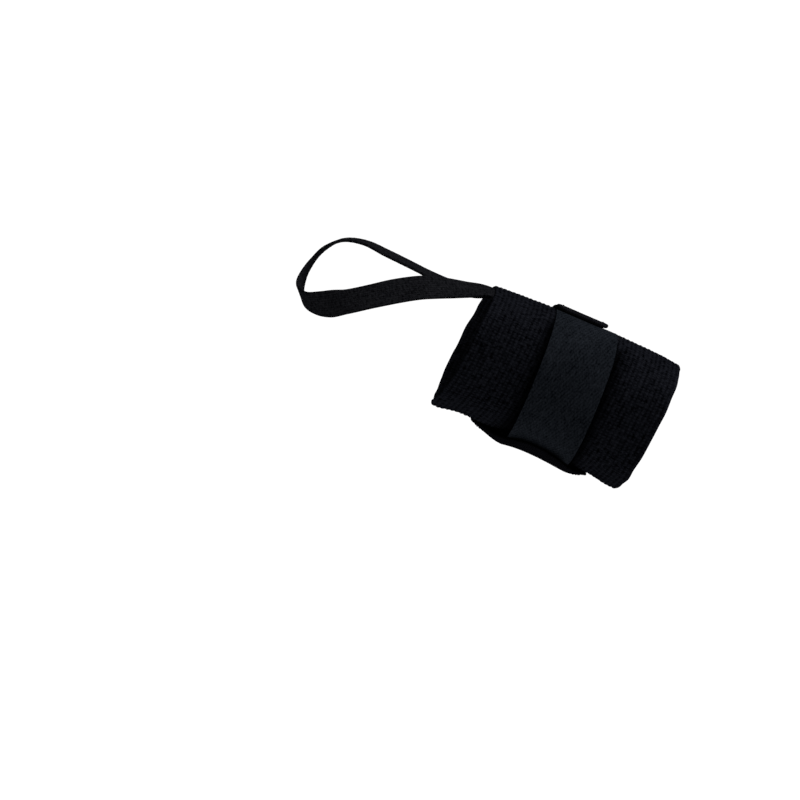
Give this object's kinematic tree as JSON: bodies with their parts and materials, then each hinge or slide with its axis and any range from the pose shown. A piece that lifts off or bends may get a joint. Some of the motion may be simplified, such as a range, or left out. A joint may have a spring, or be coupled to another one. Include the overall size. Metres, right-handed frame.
{
  "type": "elastic wrist brace",
  "caption": "Elastic wrist brace in its worn form: wide ribbed wrap-round band, smooth fastening strap under a rounded palm tab, and a narrow loop that goes round the thumb.",
  "frame": {"origin": "centre of the wrist hollow, half way along the band", "axes": "+X along the forearm to the elbow, -Y to the thumb side, +Z to the back of the hand"},
  "size_m": [0.1445, 0.076, 0.057],
  "materials": {
    "ribbed_elastic": "matte ribbed knit",
    "brushed_strap": "brushed pile",
    "hook_tape": "dull woven tape",
    "loop_elastic": "matte woven elastic"
  },
  "bodies": {
    "root": {"wrist_band": "ribbed_elastic", "closure_strap": "brushed_strap", "strap_anchor": "hook_tape", "palm_tab": "hook_tape", "thumb_loop": "loop_elastic"}
  },
  "joints": []
}
